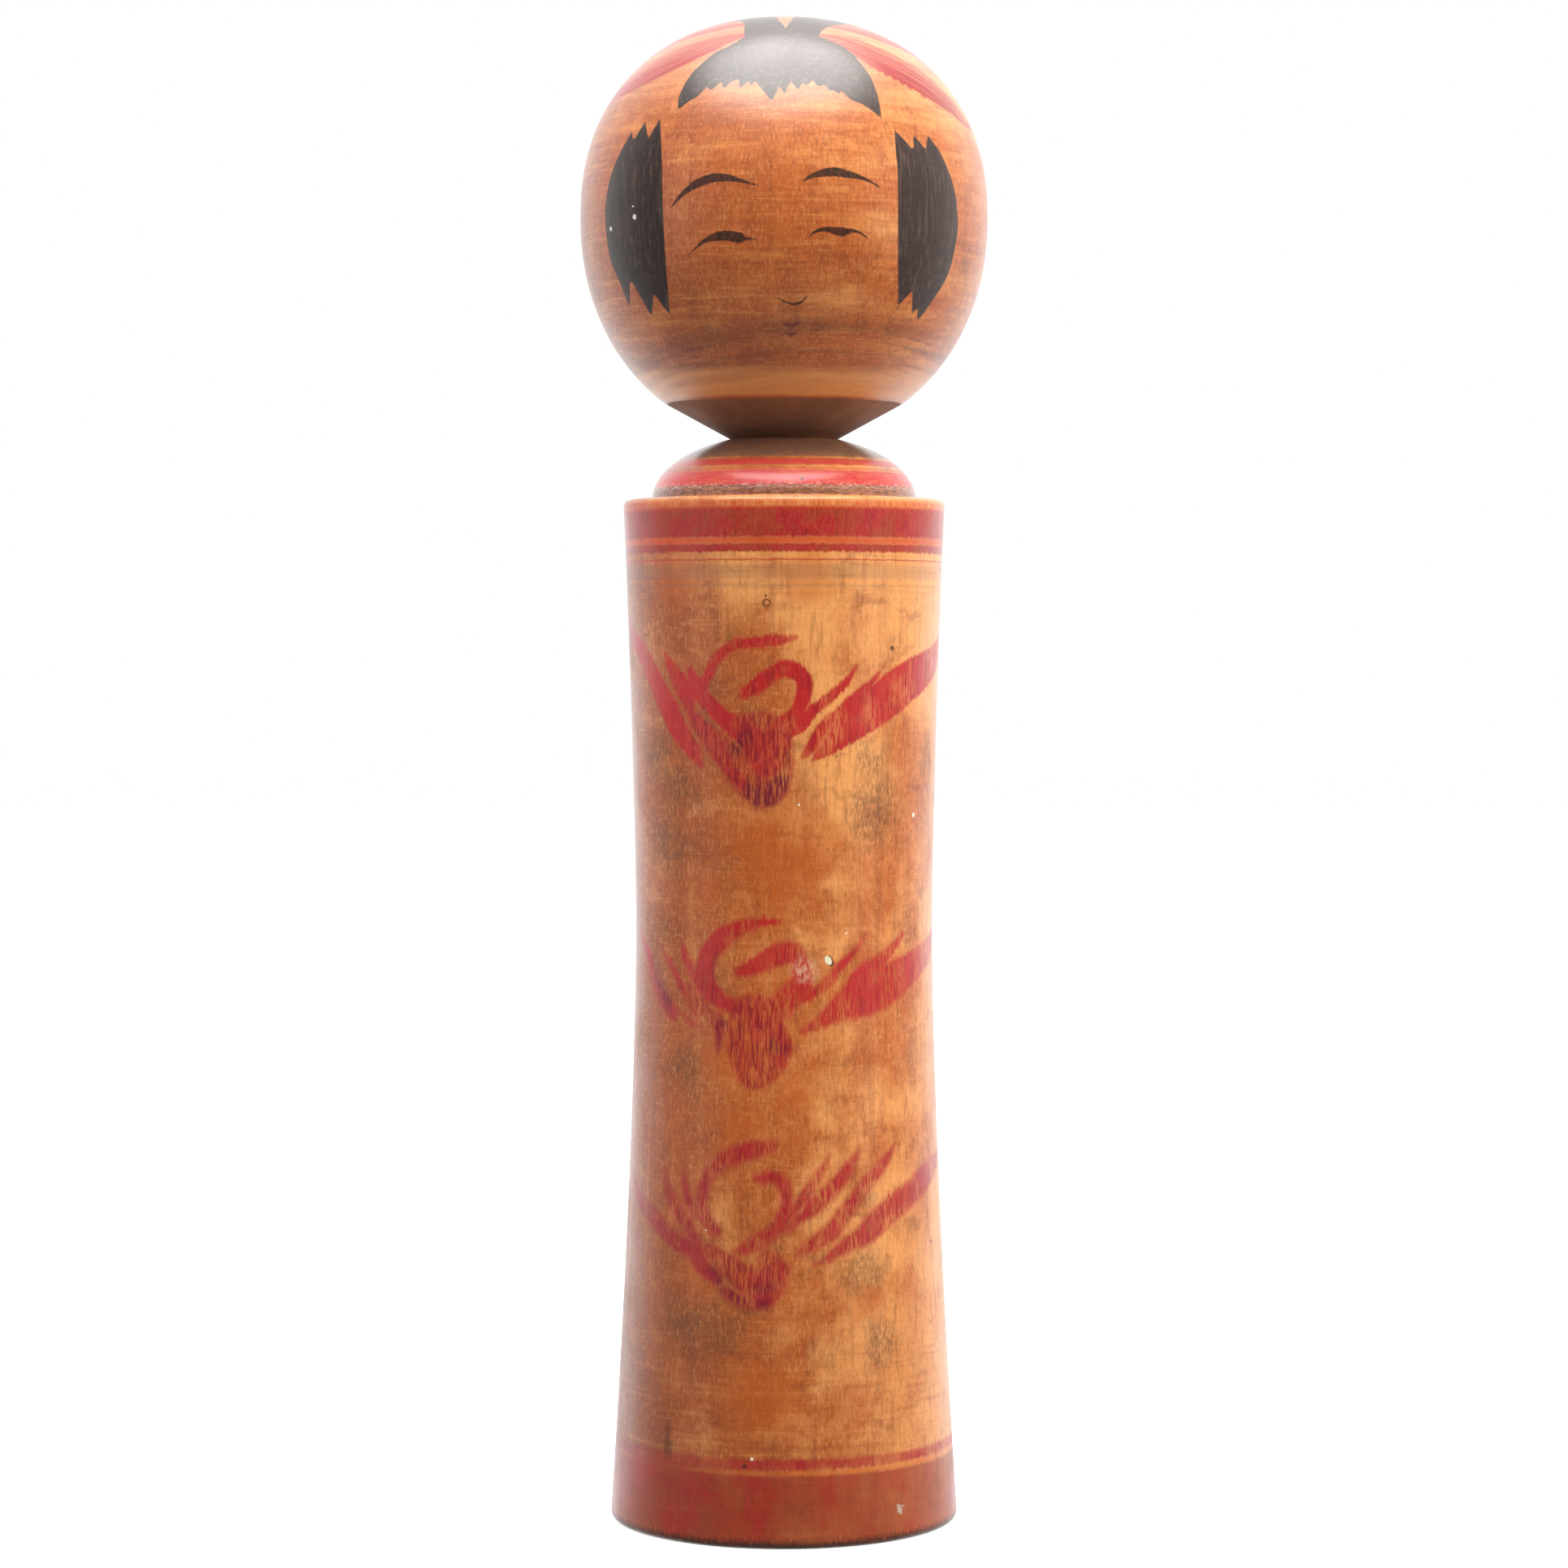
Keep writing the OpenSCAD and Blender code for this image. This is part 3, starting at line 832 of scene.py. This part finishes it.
def from_above(drawn):
    """Lays a drawing of x, y and any width on the top of the ball."""
    level = 1 - (np.hypot(drawn[:, 0], drawn[:, 1]) / (head_radius / mm)) ** upper_fullness
    z = (head_middle + upper_reach * np.maximum(level, 0) ** (1 / upper_fullness)) / mm
    return np.column_stack([drawn[:, :2], z, drawn[:, 2:]])


def filled(places, flat_places, runs, lay):
    """Distance in mm from each place to the outline of a filled shape, under 0 inside it. Each run is
    smooth and starts where the last one ended, so corners stand only between runs."""
    outline = []
    last = runs[-1][-1]
    for run in runs:
        side = smooth_run([last] + run, 0.15) if len(run) > 1 else np.linspace(last, run[0], 30)
        outline.append(side[:-1])
        last = run[-1]
    flat = np.vstack(outline)
    solid = lay(flat)
    near = near_to(places, solid, far)
    gap = np.full(len(places), far)
    nxt = np.roll(flat, -1, axis=0)
    for part in np.array_split(near, len(near) // 4000 + 1):
        if not len(part):
            continue
        away = places[part][:, None, :] - solid[None, :, :]
        apart = np.sqrt((away**2).sum(2).min(1))
        px, py = flat_places[part, 0][:, None], flat_places[part, 1][:, None]
        crosses = (flat[:, 1] > py) != (nxt[:, 1] > py)
        rise = np.where(nxt[:, 1] == flat[:, 1], 1e-9, nxt[:, 1] - flat[:, 1])
        meets = flat[:, 0] + (py - flat[:, 1]) * (nxt[:, 0] - flat[:, 0]) / rise
        inside = (crosses & (px < meets)).sum(1) % 2 == 1
        gap[part] = np.where(inside, -apart, apart)
    return gap


def hairlines(places, lines, reach):
    """How far above or below the nearest line's middle each place is, and half the line's width there,
    which is under 0 beyond its ends. Reach is how far from a line's middle it looks."""
    offset = np.full(len(places), far)
    half = np.full(len(places), -1.0)
    best = np.full(len(places), far)
    for line in lines:
        spots, widths = line[:, :3], line[:, 3] / 2
        forward = np.gradient(spots, axis=0)
        forward /= np.linalg.norm(forward, axis=1)[:, None]
        near = near_to(places, spots, reach)
        away = places[near][:, None, :] - spots[None, :, :]
        at = (away**2).sum(2).argmin(1)
        step = away[np.arange(len(near)), at]
        ahead = (step * forward[at]).sum(1)
        past_an_end = (at == 0) & (ahead < 0) | (at == len(spots) - 1) & (ahead > 0)
        beyond = np.where(past_an_end, np.abs(ahead), 0)
        aside = np.linalg.norm(step - ahead[:, None] * forward[at], axis=1)
        outward = places[near] - (0, 0, head_middle / mm)
        above = np.sign((np.cross(forward[at], step) * outward).sum(1))
        gap = aside + beyond
        closer = gap < best[near]
        kept = near[closer]
        best[kept] = gap[closer]
        offset[kept] = (above * aside)[closer]
        half[kept] = np.where(aside < 0.6 * reach, widths[at] - beyond, -1.0)[closer]
    return offset, half


# The hair, as drawn from straight in front: x and height in mm.
fringe = [
    [(-11.7, 294.1), (-14.3, 292.8), (-16.8, 290.7), (-19.1, 288.4), (-20.8, 285.7), (-21.8, 283.2),
     (-22, 280.8)],
    [(-19.6, 282.5)], [(-18.1, 283.3)], [(-16.3, 285.2)], [(-15.6, 284.3)], [(-13.5, 286.1)],
    [(-13.2, 284.5)], [(-11.7, 286)], [(-10.2, 286.5)], [(-10, 284.5)], [(-8.2, 286.1)], [(-8, 285)],
    [(-7, 285.9)], [(-5.5, 283.8)], [(-4.4, 282.3)], [(-3.9, 281.8)], [(-3, 283.5)], [(-2.4, 284.9)],
    [(-1.5, 283.3)], [(-0.2, 285.7)], [(1.3, 284.1)], [(2.1, 285.6)], [(2.8, 284.9)], [(4.1, 286.1)],
    [(5.2, 284.9)], [(6.6, 285.1)], [(7.3, 284)], [(8, 284.2)], [(9.3, 283.4)], [(9.7, 284.1)],
    [(10.8, 283)], [(11.6, 282.3)], [(13.6, 281.6)], [(15.1, 280.7)], [(16.5, 279.7)], [(17.5, 278.7)],
    [(17.2, 282), (16.5, 285), (15.5, 287.7), (13.8, 290.3), (12.2, 292.4), (10, 294.2), (7.8, 295.2),
     (5.4, 296.4)],
    [(-8.3, 296.4)],
]
left_lock = [
    [(-25.1, 270.5), (-24.9, 260.6), (-24.4, 251.6), (-23.5, 241)], [(-26.7, 245.4)], [(-27, 240.9)],
    [(-31.3, 248.6)], [(-31.3, 242.9)],
    [(-33, 247.4), (-35.3, 253.5), (-36.1, 262.7), (-34.5, 270.5), (-30.9, 277.5)],
    [(-30.7, 275.2)], [(-28.3, 279)], [(-27.7, 275.3)], [(-25.4, 279.5)],
]
right_lock = [
    [(20.3, 272), (20.6, 268.2), (20.7, 254.6), (21, 242.3)], [(20.5, 242.1)], [(23.9, 246)],
    [(23.9, 241.4)], [(25.1, 242.8)], [(25, 240.1)],
    [(27.6, 243.5), (31.2, 249.3), (33, 256.4), (33.2, 261.5), (32.2, 267.1), (29.7, 272.8), (26.9, 276.4)],
    [(26.5, 273.2)], [(23.8, 276.4)], [(24.1, 272.8)], [(20.1, 276.8)],
]
# The topknot beyond its tie, as drawn from straight above: x and y in mm.
topknot = [
    [(-8.8, -22), (-8.6, -17.5), (-9.5, -12), (-11, -7)], [(-9.5, -3.5)], [(-8.6, -5.5)], [(-7, -2)],
    [(-6, -4.5)], [(-4.4, -1.5)], [(-3.4, -5.5)], [(-2.2, -12), (-1.6, -17.5), (-0.6, -22.3)],
    [(0.6, -17.5), (1.5, -12), (2.6, -6)],
    [(4.5, -2.5)], [(5.6, -5)], [(7.5, -1.5)], [(8.8, -4.5)], [(10.8, -2)], [(11.6, -5.5)],
    [(12.2, -9.5), (11, -14), (8.9, -17.5), (6.6, -22), (5.4, -26)], [(-8.3, -26)],
]
# Ribbons swept from the tie over the crown, from above: x, y and width.
ribbons = [
    [(5.5, -24.5, 1.8), (10.6, -24.6, 6), (17, -24.8, 9), (22.7, -23.2, 9.8), (28.5, -19.9, 8.6),
     (34.6, -14, 5), (37.5, -8, 0.6)],
    [(7.5, -18.5, 2.2), (14.4, -15.8, 6), (21, -11.8, 6.6), (28, -5.5, 6), (33.5, 3, 1)],
    [(9, -13.5, 2), (14.5, -9, 4.5), (20.5, -3, 5), (25.5, 6, 4.5), (27, 15, 0.8)],
    [(8.5, -8, 2), (12, -1.5, 3.8), (15, 5.5, 4.2), (16.5, 13, 3.5), (16, 22, 0.6)],
    [(-8.6, -23.4, 1.8), (-14.8, -22.8, 6.2), (-21.2, -20.8, 8.6), (-27.5, -16.6, 8.8), (-32.4, -10, 6.6),
     (-36, -2, 0.8)],
    [(-8.6, -17.5, 2.2), (-14.6, -14, 5.8), (-21, -9, 6.2), (-27, -2.5, 5.6), (-31, 6, 1)],
    [(-9.5, -12.5, 2), (-14.5, -7.5, 4.5), (-19.5, -0.5, 5), (-23, 8, 4.2), (-23.5, 17, 0.8)],
    [(-8, -6, 2), (-10.8, 0, 3.8), (-12.5, 7.5, 4), (-12.5, 16, 3.4), (-11, 25, 0.6)],
]
# Brows, eyes, nose and lips, from in front: x, height and the brush's width.
face_lines = [
    [(-23.5, 261.3, 0.2), (-21.1, 264, 1), (-18.9, 265.5, 1.6), (-16.1, 266.6, 1.8), (-14.1, 266.8, 1.7),
     (-12.1, 266.6, 1.3), (-9.9, 266, 0.8), (-8.2, 265.5, 0.45), (-6.5, 265, 0.15)],
    [(1.8, 265.7, 0.2), (3.2, 266.7, 0.8), (6.1, 267.6, 1.6), (8.3, 267.8, 1.8), (10.2, 267.5, 1.6),
     (13.1, 266.9, 0.9), (15.3, 266.1, 0.5), (17.1, 265, 0.15)],
    [(-20, 252.2, 0.2), (-18.3, 253.7, 0.5), (-16.8, 254.8, 0.9), (-14.9, 255.4, 1.7), (-12.7, 255.6, 2),
     (-10.7, 255.2, 2.1), (-9.8, 255, 1.9), (-9.3, 254.9, 0.8), (-8, 254.9, 0.35), (-6.9, 254.8, 0.15)],
    [(3.1, 255.2, 0.2), (4.3, 256.2, 0.5), (6.1, 256.7, 0.9), (7.5, 256.6, 1.2), (8.6, 256.4, 1.6),
     (9.6, 256.3, 1.8), (10.6, 256.4, 1.3), (11.6, 256.6, 0.8), (13.1, 256.2, 0.5), (14.7, 255.2, 0.15)],
    [(-3.5, 244.1, 0.15), (-1.9, 243.2, 0.3), (-0.2, 242.6, 0.5), (0.9, 242.6, 0.6), (2.1, 243.2, 0.4),
     (3.1, 244.3, 0.15)],
    [(-1.6, 239, 0.4), (-0.8, 238.7, 0.9), (-0.1, 238.4, 0.5), (0.6, 238.8, 0.9), (1.2, 239, 0.8),
     (1.7, 239.2, 0.4)],
    [(-1.1, 237.3, 0.4), (-0.4, 236.9, 0.9), (0.3, 236.9, 0.9), (1, 237.2, 0.4)],
]

# The painter's middle of the face is a little to the doll's left of the middle of the body.
face_turn = math.radians(2.4)
ball = points_of(head.data)
faced = ball.copy()
faced[:, 0] = ball[:, 0] * math.cos(face_turn) + ball[:, 1] * math.sin(face_turn)
faced[:, 1] = ball[:, 1] * math.cos(face_turn) - ball[:, 0] * math.sin(face_turn)
front_view, top_view = faced[:, [0, 2]], faced[:, [0, 1]]
hair_gap = np.where(faced[:, 2] > 270, filled(faced, top_view, topknot, from_above), far)
for shape in (fringe, left_lock, right_lock):
    in_front = np.where(faced[:, 1] < 0, filled(faced, front_view, shape, from_front), far)
    hair_gap = np.minimum(hair_gap, in_front)
keep_on(head.data, "hair", hair_gap)
for paint, strokes, lay, step, reach in (("ribbon", ribbons, from_above, 0.25, 8.0),
                                         ("line", face_lines, from_front, 0.1, 3.0)):
    offset, half = hairlines(faced, [lay(smooth_run(s, step)) for s in strokes], reach)
    keep_on(head.data, paint + "_offset", offset)
    keep_on(head.data, paint + "_half", half)
on_tenon = (np.hypot(ball[:, 0], ball[:, 1]) < 10.5) & (ball[:, 2] < 219)
keep_on(head.data, "outside", np.where(on_tenon, 0.0, 1.0))

tree, shader, at = start_material(head_paint)
x, y, z = along(at, "X"), along(at, "Y"), along(at, "Z")
outside = stored(at, "outside")
cloud = at.stirred(8.0, 0.06, 30.0).noise(0.035, 0.035, 0.15, 4.0, 0.6, 31.0)
# As on the trunk, the doll's left and front are painted lighter and its right and back painted darker, as
# painted light and shade under a cloudy tone; the paler band just under the fringe is a painted sheen.
lit_side_and_tone = x * 0.8 - y * 0.3 + (cloud - 0.5) * 50
light = (lit_side_and_tone.rise(0, 40) * 0.34 + z.rise(268, 284) * 0.30 + (cloud - 0.5) * 1.6).rise(0.05, 1.0)
dark = lit_side_and_tone.fall(-34, 10)
wood, height, fleck, fibre, weave, stripes, smudge = turned_wood(at, light, dark, 0.9, 21.0)
ragged = (fleck - 0.5) * 1.1 + (fibre - 0.5) * 0.8

# Dark and pale rings cross the chin; below the crease the cone is darker, partly stain and partly painted
# shade where it faces down, and it was never waxed.
bowed = z + (x - 8.0) * (x - 8.0) * 0.0035
sliced = at.node("CombineXYZ", {}, {0: x, 1: y, 2: bowed})
rings = sliced.stirred(2.5, 0.05, 3.0).noise(0.012, 0.012, 0.42, 3.0, 0.6, 43.0)
chin = bowed.rise(230.0, 233.0) * bowed.fall(236.0, 243.0)
wood = (chin * rings.rise(0.42, 0.60, 0.0, 0.54)).over(wood, (104, 52, 34))
pale_ring = z.rise(225.4, 226.2) * z.fall(229.6, 232.0)
wood = (pale_ring * rings.rise(0.36, 0.66, 0.80, 0.40)).over(wood, (228, 158, 94))
cone = (z + (stripes - 0.5) * 0.6).fall(225.1, 225.5) * z.rise(217.5, 218.2) * outside
cone_stain_and_shade = (smudge.rise(0.35, 0.65) * 0.6).over((140, 104, 82), (106, 78, 62))
# Darkest by the neck, where the head meets the body: painted shade.
cone_stain_and_shade = z.fall(218.5, 222.5).over(cone_stain_and_shade, (82, 64, 54))
wood = (cone * weave.rise(0.35, 0.60, 0.92, 0.80)).over(wood, cone_stain_and_shade)

# The crown turns duller and greyer upwards; where this starts, just under the fringe, the paler grey is a
# painted sheen. The ribbons swept over it are streaked and worn.
dull_crown_and_sheen = (stripes.rise(0.40, 0.60) * 0.6).over((184, 132, 96), (152, 94, 64))
wood = (z.rise(272, 300) * 0.55).over(wood, dull_crown_and_sheen)
dye = (fibre.rise(0.46, 0.70) * 0.40).over((152, 28, 34), (108, 22, 26))
aside = stored(at, "ribbon_offset") * x.rise(-0.5, 0.5, -1.0, 1.0)
combed = at.node("CombineXYZ", {}, {0: aside * 1.5, 1: x * 0.06, 2: y * 0.06})
washed = combed.texture(4.0, 0.65).rise(0.40, 0.62, 1.0, 0.50) + aside * -0.06
beyond = abs(aside) - stored(at, "ribbon_half")
ribbon = (beyond + ragged * 0.7).fall(-0.7, 0.5) * washed.most(0.1).least(1.0)
wood = ribbon.over(wood, dye)
hair = (stored(at, "hair") + ragged * 0.30).fall(-0.12, 0.12)
brushing = at.noise(1.6, 1.6, 0.10, 3.0, 0.6, 35.0)
# The ink is painted paler towards the doll's left, the lit side, and towards the top of the hair, as painted
# light and sheen; its brushing and mottling are its own wear.
ink_fade_and_light = x.rise(-30, 30, -0.04, 0.14) + z.rise(286, 300) * 0.10 + brushing.rise(0.46, 0.70) * 0.30
ink_fade_and_light = ink_fade_and_light + weave.rise(0.50, 0.70) * 0.16 + fleck.rise(0.50, 0.7) * 0.10
ink_colour = ink_fade_and_light.over((36, 29, 28), (104, 88, 82))
wood = (hair * brushing.rise(0.50, 0.72, 0.98, 0.93)).over(wood, ink_colour)
feather = (at.noise(3.4, 3.4, 0.6, 2.0, 0.6, 37.0) - 0.5) * 0.55 + (fleck - 0.5) * 0.2
line = (stored(at, "line_half") - abs(stored(at, "line_offset")) + feather).rise(-0.05, 0.09)
lips = z.fall(240.0, 241.0)
line_colour = lips.over((40, 30, 28), (110, 38, 40))
wood = (line * fleck.rise(0.35, 0.65, 0.98, 0.80) * lips.rise(0, 1, 1.0, 0.85)).over(wood, line_colour)
paint_flecks = [((-29.2, -28.9, 260.3), 0.5), ((-34.2, -22.8, 258.5), 0.45), ((-29.4, -28.6, 262.4), 0.25)]
for spot, size in paint_flecks:
    wood = at.stirred(0.5, 1.2).near(spot, size, 0.4).over(wood, (214, 210, 206))
wood = (outside.fall(0.2, 0.8) * 0.7).over(wood, (178, 120, 76))
rough = smudge.rise(0.35, 0.70, 0.40, 0.52) + cone * 0.25
coat = (1.0 - cone * 0.95) * outside
wax(tree, shader, wood, rough, coat, hair.rise(0, 1, 1.0, 0.5) * height, 0.10 * mm)
shader.inputs["Coat Roughness"].default_value = 0.32

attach(head, "head")
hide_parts("head")
